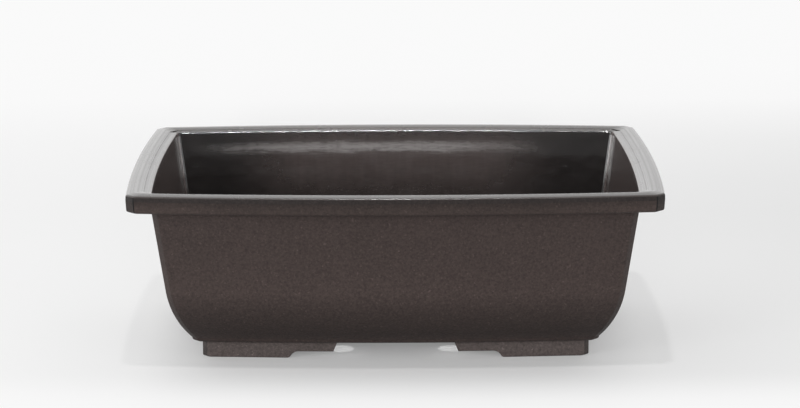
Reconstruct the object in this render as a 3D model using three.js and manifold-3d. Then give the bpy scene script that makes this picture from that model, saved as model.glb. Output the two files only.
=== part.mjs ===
// A rectangular bonsai pot with bowed sides, injection moulded in dark brown plastic.
// Millimetres, +Z up. The origin is under the pot's middle, on the surface that it stands on.
// +X runs along the pot, and -Y is its front.
// The real pot is one moulding. Its sections are separate solids here, which meet face to face:
// a flat rim with a down-turned lip, four walls, a base with drain holes and four bracket feet.

import * as THREE from 'three';
import { mergeVertices } from 'three/addons/utils/BufferGeometryUtils.js';
import loadManifold from 'manifold-3d';

const wasm = await loadManifold();
wasm.setup();

// Whole pot
const RIM_LENGTH = 294.8; // along X, between the rim's corners
const RIM_DEPTH = 196.2; // along Y, between the rim's corners
const POT_HEIGHT = 102.1; // to the rim's outer edge
const BOW_RADIUS = 1400; // every side bulges outwards on this radius, seen from above

// Rim
const FLANGE_THICKNESS = 3.4; // at its outer edge
const RIM_FALL = 1.4; // the flange's top slopes down this far towards the inside
const FLANGE_EDGE_RADIUS = 1.1; // both upper edges of the flange
const LIP_HEIGHT = 10.2; // top of the rim to the lower edge of the lip
const LIP_THICKNESS = 2.4;
const LIP_DRAFT = 2.4; // degrees
const RIM_CHAMFER = 4.6; // upright chamfer on each corner of the rim

// Walls
const WALL_INSET = 11.3; // rim's edge to the wall's outer face, carried up to the rim's top
const WALL_THICKNESS = 2.2;
const WALL_DRAFT = 7.6; // degrees
const WALL_CURVE_RADIUS = 60.5; // the wall turns in under the pot on this radius
const WALL_FOOT_LEAN = 38.2; // degrees from upright, where the wall meets the base
const WALL_CHAMFER = 3.2;
const INNER_CHAMFER = 1.9; // the corners inside the pot

// Base and drain holes
const BASE_THICKNESS = 3.2;
const BASE_EDGE_RADIUS = 2.2; // lower edge of the base
const DRAIN_DIAMETER = 14;
const DRAIN_SPACING = 62; // along X
const DRAIN_SETBACK = 6.9; // line through the feet's inner corners to the middle of a drain hole

// Feet
const FOOT_HEIGHT = 10.2;
const FOOT_SETBACK = 4.1; // edge of the base's underside to a foot's outer face
const FOOT_THICKNESS = 6;
const FOOT_CHAMFER = 2.4;
const FRONT_FEET_GAP = 65.6; // between the toes, along X
const FRONT_TOE_LENGTH = 19.6; // flat part of its underside
const SIDE_FEET_GAP = 36; // between the toes, along Y
const SIDE_TOE_LENGTH = 7;
const TOE_LIFT = 3.8; // underside of a toe above the ground
const TOE_SLANT = 2.6; // how far a toe's end leans
const TOE_COVE_RADIUS = 5.2; // hollow curve where a toe leaves the foot
const TOE_ROUND_RADIUS = 2.4; // round below it, down to the ground

// Smoothness of the facets
const BOW_STEP = 25; // longest facet along a bowed side
const CURVE_STEPS = 6; // facets down the wall's lower curve
const EDGE_STEPS = 3; // facets round a small edge
const DRAIN_SIDES = 28;
const TOE_STEPS = 3; // half the number of facets on each curve under a toe

// Colours and finishes
const GRAINED_PLASTIC = { color: 0x473f3d, roughness: 0.62, metalness: 0 };
const SMOOTH_PLASTIC = { color: 0x453e3c, roughness: 0.3, metalness: 0 };

// Values that follow from the sizes
const halfLength = RIM_LENGTH / 2;
const halfDepth = RIM_DEPTH / 2;
const baseTop = FOOT_HEIGHT + BASE_THICKNESS;
const flangeUnderside = POT_HEIGHT - FLANGE_THICKNESS;
const lipBottom = POT_HEIGHT - LIP_HEIGHT;
const lipTaper = Math.tan(THREE.MathUtils.degToRad(LIP_DRAFT));
const wallDraft = THREE.MathUtils.degToRad(WALL_DRAFT);
const footLean = THREE.MathUtils.degToRad(WALL_FOOT_LEAN);
const curveTop = baseTop + WALL_CURVE_RADIUS * (Math.sin(footLean) - Math.sin(wallDraft));

// Insets run inwards from the rim's edge, along the two straight lines through its corners.
const lipInset = (height) => (POT_HEIGHT - FLANGE_EDGE_RADIUS - height) * lipTaper;
const wallInset = (height) => WALL_INSET + (POT_HEIGHT - height) * Math.tan(wallDraft);
const wallInnerInset = (height) => wallInset(height) + WALL_THICKNESS / Math.cos(wallDraft);
const curveCentre = {
  inset: wallInset(curveTop) + WALL_CURVE_RADIUS * Math.cos(wallDraft),
  height: curveTop + WALL_CURVE_RADIUS * Math.sin(wallDraft),
};
const baseInset = curveCentre.inset - WALL_CURVE_RADIUS * Math.cos(footLean);
const footInset = baseInset + BASE_EDGE_RADIUS + FOOT_SETBACK;
const footInnerInset = footInset + FOOT_THICKNESS;

// The four sides. Each has half its own length, the distance from the pot's middle to its corners,
// and the way in which a place along the side and a distance outwards become X and Y.
const SIDES = {
  front: { along: halfLength, across: halfDepth, place: (along, out) => [along, -out] },
  right: { along: halfDepth, across: halfLength, place: (along, out) => [out, along] },
  back: { along: halfLength, across: halfDepth, place: (along, out) => [-along, out] },
  left: { along: halfDepth, across: halfLength, place: (along, out) => [-out, -along] },
};

// Points of one bowed side from chamfer to chamfer, seen from above
function bowedEdge(side, inset, chamfer) {
  const reach = side.along - inset - chamfer;
  const steps = 2 * Math.ceil(side.along / BOW_STEP);
  const points = [];
  for (let step = 0; step <= steps; step += 1) {
    const along = reach * ((2 * step) / steps - 1);
    const bow = (reach * reach - along * along) / (2 * BOW_RADIUS);
    points.push(side.place(along, side.across - inset + bow));
  }
  return points;
}

// The same side with half of each corner's chamfer, so that it ends on the corners' diagonals
function miteredEdge(side, inset, chamfer) {
  const end = side.along - inset - chamfer / 2;
  const out = side.across - inset - chamfer / 2;
  return [side.place(-end, out), ...bowedEdge(side, inset, chamfer), side.place(end, out)];
}

// The whole outline of the pot at one inset, anticlockwise from above
function outline(inset, chamfer) {
  return Object.values(SIDES).flatMap((side) => bowedEdge(side, inset, chamfer));
}

function meshGeometry(positions, triangles) {
  const geometry = new THREE.BufferGeometry();
  geometry.setAttribute('position', new THREE.Float32BufferAttribute(positions, 3));
  geometry.setIndex(triangles);
  return geometry;
}

// A closed section of points { inset, height, chamfer }, swept along one side between the diagonals.
// The section runs anticlockwise with the inset to the right and the height upwards.
function sweptSide(section, side) {
  const edges = section.map((point) => miteredEdge(side, point.inset, point.chamfer));
  const stations = edges[0].length;
  const count = section.length;
  const positions = [];
  for (let station = 0; station < stations; station += 1) {
    section.forEach((point, index) => positions.push(...edges[index][station], point.height));
  }
  const triangles = [];
  for (let station = 0; station + 1 < stations; station += 1) {
    for (let index = 0; index < count; index += 1) {
      const here = station * count + index;
      const next = station * count + ((index + 1) % count);
      triangles.push(here, next, here + count);
      triangles.push(here + count, next, next + count);
    }
  }
  const face = section.map((point) => new THREE.Vector2(point.inset, point.height));
  const lastStation = (stations - 1) * count;
  for (const [a, b, c] of THREE.ShapeUtils.triangulateShape(face, [])) {
    triangles.push(c, b, a);
    triangles.push(lastStation + a, lastStation + b, lastStation + c);
  }
  return meshGeometry(positions, triangles);
}

// A solid through whole outlines of the pot, from levels { inset, height, chamfer } in rising order
function stackedOutlines(levels) {
  const rings = levels.map((level) => outline(level.inset, level.chamfer));
  const count = rings[0].length;
  const positions = [];
  levels.forEach((level, index) => rings[index].forEach((point) => positions.push(...point, level.height)));
  const triangles = [];
  for (let level = 0; level + 1 < levels.length; level += 1) {
    for (let index = 0; index < count; index += 1) {
      const here = level * count + index;
      const next = level * count + ((index + 1) % count);
      triangles.push(here, next, next + count);
      triangles.push(here, next + count, here + count);
    }
  }
  const face = rings[0].map(([x, y]) => new THREE.Vector2(x, y));
  const topRing = (levels.length - 1) * count;
  for (const [a, b, c] of THREE.ShapeUtils.triangulateShape(face, [])) {
    triangles.push(c, b, a);
    triangles.push(topRing + a, topRing + b, topRing + c);
  }
  return meshGeometry(positions, triangles);
}

function toSolid(geometry) {
  const bare = geometry.clone();
  bare.deleteAttribute('normal');
  bare.deleteAttribute('uv');
  const merged = mergeVertices(bare);
  const mesh = new wasm.Mesh({
    numProp: 3,
    vertProperties: Float32Array.from(merged.getAttribute('position').array),
    triVerts: Uint32Array.from(merged.getIndex().array),
  });
  return new wasm.Manifold(mesh);
}

function fromSolid(solid) {
  const mesh = solid.getMesh();
  return meshGeometry(Array.from(mesh.vertProperties), Array.from(mesh.triVerts));
}

// A copy on the other side of the pot, with its faces still pointing outwards
function mirrored(geometry, signX, signY) {
  const copy = geometry.clone();
  copy.scale(signX, signY, 1);
  if (signX * signY < 0) {
    copy.setIndex(Array.from(copy.getIndex().array).reverse());
  }
  return copy;
}

// Points of an arc in a section, about a centre, with angles from the inward direction upwards
function sectionArc(centre, radius, fromAngle, toAngle, steps, chamfer) {
  const points = [];
  for (let step = 0; step <= steps; step += 1) {
    const angle = THREE.MathUtils.lerp(fromAngle, toAngle, step / steps);
    const inset = centre.inset + radius * Math.cos(angle);
    const height = centre.height + radius * Math.sin(angle);
    points.push({ inset, height, chamfer });
  }
  return points;
}

// Rim: the flat top, which slopes down towards the inside
function flangeSection() {
  const outerHeight = POT_HEIGHT - FLANGE_EDGE_RADIUS;
  const innerHeight = outerHeight - RIM_FALL;
  const innerEdge = { inset: wallInnerInset(innerHeight) - FLANGE_EDGE_RADIUS, height: innerHeight };
  const outerEdge = { inset: FLANGE_EDGE_RADIUS, height: outerHeight };
  return [
    { inset: lipInset(flangeUnderside), height: flangeUnderside, chamfer: RIM_CHAMFER },
    { inset: wallInnerInset(flangeUnderside), height: flangeUnderside, chamfer: INNER_CHAMFER },
    ...sectionArc(innerEdge, FLANGE_EDGE_RADIUS, 0, Math.PI / 2, EDGE_STEPS, INNER_CHAMFER),
    ...sectionArc(outerEdge, FLANGE_EDGE_RADIUS, Math.PI / 2, Math.PI, EDGE_STEPS, RIM_CHAMFER),
  ];
}

// Rim: the lip that hangs from the flange's outer edge, with an even wall round its corners
function lipSection() {
  const innerChamfer = RIM_CHAMFER - (2 - Math.SQRT2) * LIP_THICKNESS;
  const outer = (height) => ({ inset: lipInset(height), height, chamfer: RIM_CHAMFER });
  const inner = (height) => ({ inset: lipInset(height) + LIP_THICKNESS, height, chamfer: innerChamfer });
  return [outer(flangeUnderside), outer(lipBottom), inner(lipBottom), inner(flangeUnderside)];
}

// Walls: straight from the flange down, then curved in to the base
function wallSection() {
  const innerRadius = WALL_CURVE_RADIUS - WALL_THICKNESS;
  const innerLean = Math.asin((WALL_CURVE_RADIUS * Math.sin(footLean)) / innerRadius);
  const outerFrom = Math.PI + wallDraft;
  const outerTo = Math.PI + footLean;
  const innerFrom = Math.PI + innerLean;
  return [
    { inset: wallInset(flangeUnderside), height: flangeUnderside, chamfer: WALL_CHAMFER },
    ...sectionArc(curveCentre, WALL_CURVE_RADIUS, outerFrom, outerTo, CURVE_STEPS, WALL_CHAMFER),
    ...sectionArc(curveCentre, innerRadius, innerFrom, outerFrom, CURVE_STEPS, INNER_CHAMFER),
    { inset: wallInnerInset(flangeUnderside), height: flangeUnderside, chamfer: INNER_CHAMFER },
  ];
}

// Base: a flat plate with a rounded lower edge, pierced by the drain holes
function basePlate() {
  const edge = { inset: baseInset + BASE_EDGE_RADIUS, height: FOOT_HEIGHT + BASE_EDGE_RADIUS };
  const levels = [
    ...sectionArc(edge, BASE_EDGE_RADIUS, 1.5 * Math.PI, Math.PI, EDGE_STEPS, WALL_CHAMFER),
    { inset: baseInset, height: baseTop, chamfer: WALL_CHAMFER },
  ];
  const drainRow = halfDepth - footInnerInset - DRAIN_SETBACK;
  const drainDepth = 3 * BASE_THICKNESS;
  let plate = toSolid(stackedOutlines(levels));
  for (const signX of [-1, 1]) {
    for (const signY of [-1, 1]) {
      const drain = new THREE.CylinderGeometry(DRAIN_DIAMETER / 2, DRAIN_DIAMETER / 2, drainDepth, DRAIN_SIDES);
      drain.rotateX(Math.PI / 2);
      drain.translate((signX * DRAIN_SPACING) / 2, signY * drainRow, baseTop);
      plate = plate.subtract(toSolid(drain));
    }
  }
  return fromSolid(plate);
}

// Feet: the outline of one leg of a bracket foot, seen square on. It runs out from the pot's middle:
// the toe's slanted end, its raised underside, the cove, the round below it, and the flat on the ground.
function footElevation(gap, toeLength, outerEnd) {
  const bothRadii = TOE_COVE_RADIUS + TOE_ROUND_RADIUS;
  const steepest = Math.acos(1 - TOE_LIFT / bothRadii);
  const toeEnd = gap / 2 + TOE_SLANT;
  const coveStart = toeEnd + toeLength;
  const roundEnd = coveStart + bothRadii * Math.sin(steepest);
  const shape = new THREE.Shape();
  shape.moveTo(gap / 2, FOOT_HEIGHT);
  shape.lineTo(toeEnd, TOE_LIFT);
  shape.lineTo(coveStart, TOE_LIFT);
  const up = Math.PI / 2;
  const down = 1.5 * Math.PI;
  shape.absarc(coveStart, TOE_LIFT - TOE_COVE_RADIUS, TOE_COVE_RADIUS, up, up - steepest, true);
  shape.absarc(roundEnd, TOE_ROUND_RADIUS, TOE_ROUND_RADIUS, down - steepest, down, false);
  shape.lineTo(outerEnd, 0);
  shape.lineTo(outerEnd, FOOT_HEIGHT);
  return shape;
}

// One L-shaped foot, at the +X -Y corner
function bracketFoot() {
  const asShape = (points) => points.map(([x, y]) => new THREE.Vector2(x, y));
  const ring = new THREE.Shape(asShape(outline(footInset, FOOT_CHAMFER)));
  ring.holes.push(new THREE.Path(asShape(outline(footInnerInset, FOOT_CHAMFER))));
  const footRing = new THREE.ExtrudeGeometry(ring, { depth: FOOT_HEIGHT, bevelEnabled: false });
  const solidLeg = { bevelEnabled: false, curveSegments: TOE_STEPS };
  const innerX = halfLength - footInnerInset;
  const innerY = halfDepth - footInnerInset;

  const frontElevation = footElevation(FRONT_FEET_GAP, FRONT_TOE_LENGTH, halfLength);
  const frontLeg = new THREE.ExtrudeGeometry(frontElevation, { ...solidLeg, depth: halfDepth - innerY });
  frontLeg.rotateX(Math.PI / 2);
  frontLeg.translate(0, -innerY, 0);

  const sideElevation = footElevation(SIDE_FEET_GAP, SIDE_TOE_LENGTH, halfDepth);
  const sideLeg = new THREE.ExtrudeGeometry(sideElevation, { ...solidLeg, depth: halfLength - innerX });
  sideLeg.rotateX(Math.PI / 2);
  sideLeg.rotateZ(-Math.PI / 2);
  sideLeg.translate(halfLength, 0, 0);

  const legs = toSolid(frontLeg).add(toSolid(sideLeg));
  return fromSolid(toSolid(footRing).intersect(legs));
}

const bonsaiPot = new THREE.Group();

function addPiece(name, geometry, finish) {
  const mesh = new THREE.Mesh(geometry, new THREE.MeshStandardMaterial(finish));
  mesh.name = name;
  bonsaiPot.add(mesh);
}

for (const [sideName, side] of Object.entries(SIDES)) {
  addPiece(`rim_flange_${sideName}`, sweptSide(flangeSection(), side), SMOOTH_PLASTIC);
  addPiece(`rim_lip_${sideName}`, sweptSide(lipSection(), side), GRAINED_PLASTIC);
  addPiece(`wall_${sideName}`, sweptSide(wallSection(), side), GRAINED_PLASTIC);
}

addPiece('base_plate', basePlate(), GRAINED_PLASTIC);

const foot = bracketFoot();
addPiece('foot_front_right', foot, GRAINED_PLASTIC);
addPiece('foot_front_left', mirrored(foot, -1, 1), GRAINED_PLASTIC);
addPiece('foot_back_right', mirrored(foot, 1, -1), GRAINED_PLASTIC);
addPiece('foot_back_left', mirrored(foot, -1, -1), GRAINED_PLASTIC);

export default bonsaiPot;
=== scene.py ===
"""Looks of a rectangular bonsai pot, moulded in dark brown plastic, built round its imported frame.

Metres, +Z up. +X runs along the pot, and -Y is its front.
"""

import math

import bmesh
import bpy
from mathutils import Matrix, Vector


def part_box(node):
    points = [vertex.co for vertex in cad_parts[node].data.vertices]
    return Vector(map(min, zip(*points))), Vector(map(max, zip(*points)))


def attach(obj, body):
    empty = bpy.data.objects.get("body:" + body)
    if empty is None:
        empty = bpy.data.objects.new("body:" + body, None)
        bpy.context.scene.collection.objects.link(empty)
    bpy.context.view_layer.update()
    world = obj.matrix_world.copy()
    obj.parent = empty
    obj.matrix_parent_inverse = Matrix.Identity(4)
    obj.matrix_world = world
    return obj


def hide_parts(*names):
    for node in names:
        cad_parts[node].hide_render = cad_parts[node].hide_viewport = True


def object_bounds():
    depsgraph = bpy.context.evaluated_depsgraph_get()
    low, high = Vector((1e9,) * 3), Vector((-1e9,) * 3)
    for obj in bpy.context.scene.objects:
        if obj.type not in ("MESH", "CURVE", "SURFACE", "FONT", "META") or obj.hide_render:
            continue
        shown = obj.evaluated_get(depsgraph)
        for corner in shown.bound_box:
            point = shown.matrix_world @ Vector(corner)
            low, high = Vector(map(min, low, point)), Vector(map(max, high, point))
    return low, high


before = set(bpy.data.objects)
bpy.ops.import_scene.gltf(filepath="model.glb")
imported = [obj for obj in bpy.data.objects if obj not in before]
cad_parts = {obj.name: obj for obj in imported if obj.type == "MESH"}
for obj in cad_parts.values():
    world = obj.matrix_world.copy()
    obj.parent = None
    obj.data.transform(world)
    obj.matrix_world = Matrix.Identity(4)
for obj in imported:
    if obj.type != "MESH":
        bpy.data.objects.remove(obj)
cad_low, cad_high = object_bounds()

# Whole pot
POT_HEIGHT = cad_high.z
HALF_LENGTH = 0.1474  # along X, from the middle to the rim's corners
HALF_DEPTH = 0.0981  # along Y, from the middle to the rim's corners
BOW_RADIUS = 1.4  # every side bulges outwards on this radius, seen from above

# Rim
FLANGE_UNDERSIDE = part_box("rim_flange_front")[0].z
FLANGE_EDGE_RADIUS = 0.0011
LIP_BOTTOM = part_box("rim_lip_front")[0].z
LIP_THICKNESS = 0.0024
LIP_DRAFT = math.radians(2.4)
LIP_OUTER_RADIUS = 0.0013  # lower edge, outside
LIP_INNER_RADIUS = 0.0005
FLANGE_EDGE_LEAN = 0.0002  # the flange's outer edge leans in this far towards its top
RIM_CHAMFER = 0.0046
WITNESS_INSET = 0.0092  # a fine step along the rim's top, left by the mould's core
WITNESS_WIDTH = 0.00035
WITNESS_DROP = 0.00008
RIM_FALL = 0.0014  # the rim's top falls this far from its outer to its inner edge
RIM_CROWN_WIDTH = 0.0045  # its outer part curves down a little
RIM_CROWN_DROP = 0.0003
CROWN_STEPS = 5

# Walls
WALL_INSET = 0.0113  # rim's edge to the wall's outer face, carried up to the rim's top
WALL_THICKNESS = 0.0022
WALL_DRAFT = math.radians(7.6)
WALL_CURVE_RADIUS = 0.0605
WALL_FOOT_LEAN = math.radians(38.2)
WALL_CHAMFER = 0.0032
INNER_CHAMFER = 0.0014

# Base and drain holes
BASE_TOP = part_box("base_plate")[1].z
BASE_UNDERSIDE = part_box("base_plate")[0].z
BASE_EDGE_RADIUS = 0.0022
BASE_EDGE_SLANT = 0.0008  # above that round, the edge slants in this far from the wall
DRAIN_DIAMETER = 0.014
DRAIN_EDGE_RADIUS = 0.0006
DRAIN_HOLES = 4
DRAIN_SPACING = 0.062
DRAIN_SETBACK = 0.0069  # line through the feet's inner corners to the middle of a drain hole

# Feet
FOOT_SETBACK = 0.0041
FOOT_THICKNESS = 0.006
FOOT_CHAMFER = 0.0024
FOOT_EDGE_RADIUS = 0.0008  # outer lower edge
FOOT_INNER_EDGE_RADIUS = 0.0006
FOOT_BEVEL = 0.0004  # every other edge of a foot
FOOT_CORNER_LIFT = 0.0002  # the underside curves up this far towards the foot's chamfer
FOOT_CORNER_LENGTH = 0.002  # and over this length
FOOT_CORNER_RADIUS = 0.0011  # outer lower edge there
FRONT_FEET_GAP = 0.0656
FRONT_TOE_LENGTH = 0.0196
SIDE_FEET_GAP = 0.036
SIDE_TOE_LENGTH = 0.007
TOE_LIFT = 0.0038
TOE_SLANT = 0.0026
TOE_COVE_RADIUS = 0.0052
TOE_ROUND_RADIUS = 0.0024  # below the cove

# How round the corners are, from 0 for a plain chamfer to 1 for a full round
OUTER_ROUNDNESS = 0.2
INNER_ROUNDNESS = 1.0

# Smoothness
BOW_STEPS = 28  # from the middle of a side to its end
ROUND_STEPS = 4  # each of the two bends at a corner
CURVE_STEPS = 24  # down the wall's lower curve
EDGE_STEPS = 6
TOE_STEPS = 4  # along a toe's straight part
TOE_CURVE_STEPS = 8  # in each of the two curves between the toe and the flat
DRAIN_SIDES = 56
DRAIN_CUTTER_RINGS = 64
BEVEL_SEGMENTS = 2
SHARP_ANGLE = math.radians(35)
MERGE_DISTANCE = 1e-6

SIDES = ("front", "right", "back", "left")

# Finishes of the moulding's faces
GRAINED = 0
SATIN = 1
GLOSSY = 2


# Insets run inwards from the rim's edge, along the two straight lines through its corners.
def lip_inset(height):
    return (POT_HEIGHT - FLANGE_EDGE_RADIUS - height) * math.tan(LIP_DRAFT)


def wall_inset(height):
    return WALL_INSET + (POT_HEIGHT - height) * math.tan(WALL_DRAFT)


def wall_inner_inset(height):
    return wall_inset(height) + WALL_THICKNESS / math.cos(WALL_DRAFT)


CURVE_TOP = BASE_TOP + WALL_CURVE_RADIUS * (math.sin(WALL_FOOT_LEAN) - math.sin(WALL_DRAFT))
CURVE_CENTRE = (
    wall_inset(CURVE_TOP) + WALL_CURVE_RADIUS * math.cos(WALL_DRAFT),
    CURVE_TOP + WALL_CURVE_RADIUS * math.sin(WALL_DRAFT),
)
BASE_INSET = CURVE_CENTRE[0] - WALL_CURVE_RADIUS * math.cos(WALL_FOOT_LEAN)
FOOT_INSET = BASE_INSET + BASE_EDGE_RADIUS + FOOT_SETBACK
FOOT_INNER_INSET = FOOT_INSET + FOOT_THICKNESS
FOOT_BEND = FOOT_CHAMFER * OUTER_ROUNDNESS * math.sqrt(0.5)
DRAIN_ROW = HALF_DEPTH - FOOT_INNER_INSET - DRAIN_SETBACK


class Value:
    """A socket of a node tree. Arithmetic on it adds Math nodes to its tree."""

    def __init__(self, tree, socket):
        self.tree = tree
        self.socket = socket

    def math(self, operation, *others):
        return self.tree.math(operation, self, *others)

    def __add__(self, other):
        return self.tree.math("ADD", self, other)

    def __radd__(self, other):
        return self.tree.math("ADD", other, self)

    def __sub__(self, other):
        return self.tree.math("SUBTRACT", self, other)

    def __rsub__(self, other):
        return self.tree.math("SUBTRACT", other, self)

    def __mul__(self, other):
        return self.tree.math("MULTIPLY", self, other)

    def __rmul__(self, other):
        return self.tree.math("MULTIPLY", other, self)

    def __truediv__(self, other):
        return self.tree.math("DIVIDE", self, other)

    def __rtruediv__(self, other):
        return self.tree.math("DIVIDE", other, self)

    def __neg__(self):
        return self.tree.math("MULTIPLY", self, -1.0)


class Tree:
    """Writes nodes into a shader tree or a Geometry Nodes tree."""

    def __init__(self, node_tree):
        self.node_tree = node_tree
        node_tree.nodes.clear()

    def node(self, kind, settings=None, sockets=None, output=0):
        """Adds a node, makes its settings, feeds its sockets and returns one of its outputs."""
        made = self.node_tree.nodes.new(kind)
        for name, setting in (settings or {}).items():
            if name == "stops":
                self.set_stops(made.color_ramp, setting)
            else:
                setattr(made, name, setting)
        for name, value in (sockets or {}).items():
            self.feed(self.find(made.inputs, name), value)
        return Value(self, self.find(made.outputs, output)) if len(made.outputs) else made

    def math(self, operation, *operands):
        sockets = dict(enumerate(operands))
        return self.node("ShaderNodeMath", {"operation": operation}, sockets)

    def axis(self, vector, axis):
        """A vector's X, Y or Z."""
        return self.node("ShaderNodeSeparateXYZ", None, {"Vector": vector}, axis)

    def shade(self, colour, amount):
        """A colour made lighter or darker by an amount about 1."""
        sockets = {"Vector": colour, "Scale": amount}
        return self.node("ShaderNodeVectorMath", {"operation": "SCALE"}, sockets, "Vector")

    def grey_ramp(self, stops, place):
        """A grey that follows the stops, which are pairs of a place from 0 to 1 and a level."""
        settings = {"stops": [(at, (level, level, level)) for at, level in stops]}
        return self.node("ShaderNodeValToRGB", settings, {"Fac": place}, "Color")

    def feed(self, socket, value):
        if isinstance(value, Value):
            self.node_tree.links.new(value.socket, socket)
        elif socket.type == "RGBA" and len(value) == 3:
            socket.default_value = (*value, 1.0)
        else:
            socket.default_value = value

    @staticmethod
    def find(sockets, key):
        if isinstance(key, int):
            return sockets[key]
        return next(socket for socket in sockets if socket.identifier == key)

    @staticmethod
    def set_stops(ramp, stops):
        while len(ramp.elements) < len(stops):
            ramp.elements.new(1.0)
        for element, (position, colour) in zip(ramp.elements, stops):
            element.position = position
            element.color = (*colour, 1.0)


class GeometryTree(Tree):
    """A Geometry Nodes tree with named inputs, which ends in Realize Instances and Set Material."""

    def __init__(self, name):
        super().__init__(bpy.data.node_groups.new(name, "GeometryNodeTree"))
        self.identifiers = {}
        self.entry = self.node_tree.nodes.new("NodeGroupInput")
        self.node_tree.interface.new_socket("Result", in_out="OUTPUT", socket_type="NodeSocketGeometry")

    def input(self, name, kind):
        item = self.node_tree.interface.new_socket(name, in_out="INPUT", socket_type=f"NodeSocket{kind}")
        self.identifiers[name] = item.identifier
        return Value(self, self.find(self.entry.outputs, item.identifier))

    def smooth(self, geometry):
        """Smooth shading, with sharp edges where the surface turns quickly."""
        angle = self.node("GeometryNodeInputMeshEdgeAngle", output="Unsigned Angle")
        limits = {"A": angle, "B": SHARP_ANGLE}
        is_sharp = self.node("FunctionNodeCompare", {"operation": "GREATER_THAN"}, limits)
        smoothed = self.node("GeometryNodeSetShadeSmooth", {"domain": "FACE"}, {"Geometry": geometry})
        sockets = {"Geometry": smoothed, "Selection": is_sharp, "Shade Smooth": False}
        return self.node("GeometryNodeSetShadeSmooth", {"domain": "EDGE"}, sockets)

    def set_material(self, geometry, material, selection=True):
        sockets = {"Geometry": geometry, "Selection": selection, "Material": material}
        return self.node("GeometryNodeSetMaterial", None, sockets)

    def finish(self, geometry):
        self.node("NodeGroupOutput", None, {0: geometry})

    def apply(self, piece, values):
        """Runs the tree on a piece and keeps the result as its plain mesh."""
        modifier = piece.modifiers.new(self.node_tree.name, "NODES")
        modifier.node_group = self.node_tree
        for name, value in values.items():
            modifier[self.identifiers[name]] = value
        keep_evaluated_mesh(piece)


def keep_evaluated_mesh(piece):
    """Turns a piece and its modifiers into a plain mesh."""
    graph = bpy.context.evaluated_depsgraph_get()
    evaluated = piece.evaluated_get(graph)
    mesh = bpy.data.meshes.new_from_object(evaluated, preserve_all_data_layers=True, depsgraph=graph)
    piece.modifiers.clear()
    piece.data = mesh
    mesh.name = piece.name


def new_piece(name, points, edges=(), faces=()):
    mesh = bpy.data.meshes.new(name)
    mesh.from_pydata(points, edges, faces)
    piece = bpy.data.objects.new(name, mesh)
    bpy.context.scene.collection.objects.link(piece)
    return piece


# The pot's sections. A section is a list of points (inset, height, chamfer, roundness, finish), clockwise
# with the inset to the right and the height upwards. A point's finish covers the face to the next point.
def section_arc(centre, radius, from_angle, to_angle, steps, corner, finish):
    points = []
    for step in range(steps + 1):
        angle = from_angle + (to_angle - from_angle) * step / steps
        inset = centre[0] + radius * math.cos(angle)
        height = centre[1] + radius * math.sin(angle)
        points.append((inset, height, *corner, finish))
    return points


RIM_CORNER = (RIM_CHAMFER, OUTER_ROUNDNESS)
LIP_INNER_CORNER = (RIM_CHAMFER - (2 - math.sqrt(2)) * LIP_THICKNESS, OUTER_ROUNDNESS)
WALL_CORNER = (WALL_CHAMFER, OUTER_ROUNDNESS)
INNER_CORNER = (INNER_CHAMFER, INNER_ROUNDNESS)


def rim_top(inset):
    """The height of the rim's top: it falls towards the inside and is crowned along its outer edge."""
    outer_edge = FLANGE_EDGE_LEAN + FLANGE_EDGE_RADIUS
    inside_crown = inset - outer_edge - RIM_CROWN_WIDTH
    if inside_crown >= 0:
        slope_width = wall_inner_inset(POT_HEIGHT) - outer_edge - RIM_CROWN_WIDTH
        return POT_HEIGHT - RIM_FALL * inside_crown / slope_width
    return POT_HEIGHT - RIM_CROWN_DROP * (inside_crown / RIM_CROWN_WIDTH) ** 2


def flange_section():
    """The top of the rim, grained round its outer edge, satin on top and glossy towards the inside."""
    radius = FLANGE_EDGE_RADIUS
    outer_edge = FLANGE_EDGE_LEAN + radius
    outer_top = rim_top(outer_edge)
    inner_edge = wall_inner_inset(POT_HEIGHT - RIM_FALL) - radius
    inner_top = rim_top(inner_edge) - WITNESS_DROP
    half, quarter = math.pi, math.pi / 2
    outer_centre = (outer_edge, outer_top - radius)
    outer_round = section_arc(outer_centre, radius, half, quarter, EDGE_STEPS, RIM_CORNER, SATIN)
    outer_round[0] = (*outer_round[0][:-1], GRAINED)
    inner_centre = (inner_edge, inner_top - radius)
    inner_round = section_arc(inner_centre, radius, quarter, 0, EDGE_STEPS, INNER_CORNER, GLOSSY)
    crown = [outer_edge + RIM_CROWN_WIDTH * (step + 1) / CROWN_STEPS for step in range(CROWN_STEPS)]
    strip_start = WITNESS_INSET + WITNESS_WIDTH
    return [
        (lip_inset(FLANGE_UNDERSIDE), FLANGE_UNDERSIDE, *RIM_CORNER, GRAINED),
        *outer_round,
        *[(inset, rim_top(inset), *RIM_CORNER, SATIN) for inset in crown],
        (WITNESS_INSET, rim_top(WITNESS_INSET), *RIM_CORNER, SATIN),
        (strip_start, rim_top(strip_start) - WITNESS_DROP, *INNER_CORNER, SATIN),
        *inner_round,
        (wall_inner_inset(FLANGE_UNDERSIDE), FLANGE_UNDERSIDE, *INNER_CORNER, GRAINED),
    ]


def lip_section():
    """The lip that hangs from the flange's outer edge."""
    outer_inset = lip_inset(LIP_BOTTOM)
    outer = (outer_inset + LIP_OUTER_RADIUS, LIP_BOTTOM + LIP_OUTER_RADIUS)
    inner = (outer_inset + LIP_THICKNESS - LIP_INNER_RADIUS, LIP_BOTTOM + LIP_INNER_RADIUS)
    top_inset = lip_inset(FLANGE_UNDERSIDE)
    down = -math.pi / 2
    return [
        *section_arc(outer, LIP_OUTER_RADIUS, down, -math.pi, EDGE_STEPS, RIM_CORNER, GRAINED),
        (top_inset, FLANGE_UNDERSIDE, *RIM_CORNER, GRAINED),
        (top_inset + LIP_THICKNESS, FLANGE_UNDERSIDE, *LIP_INNER_CORNER, GRAINED),
        *section_arc(inner, LIP_INNER_RADIUS, 0, down, EDGE_STEPS, LIP_INNER_CORNER, GRAINED),
    ]


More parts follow.
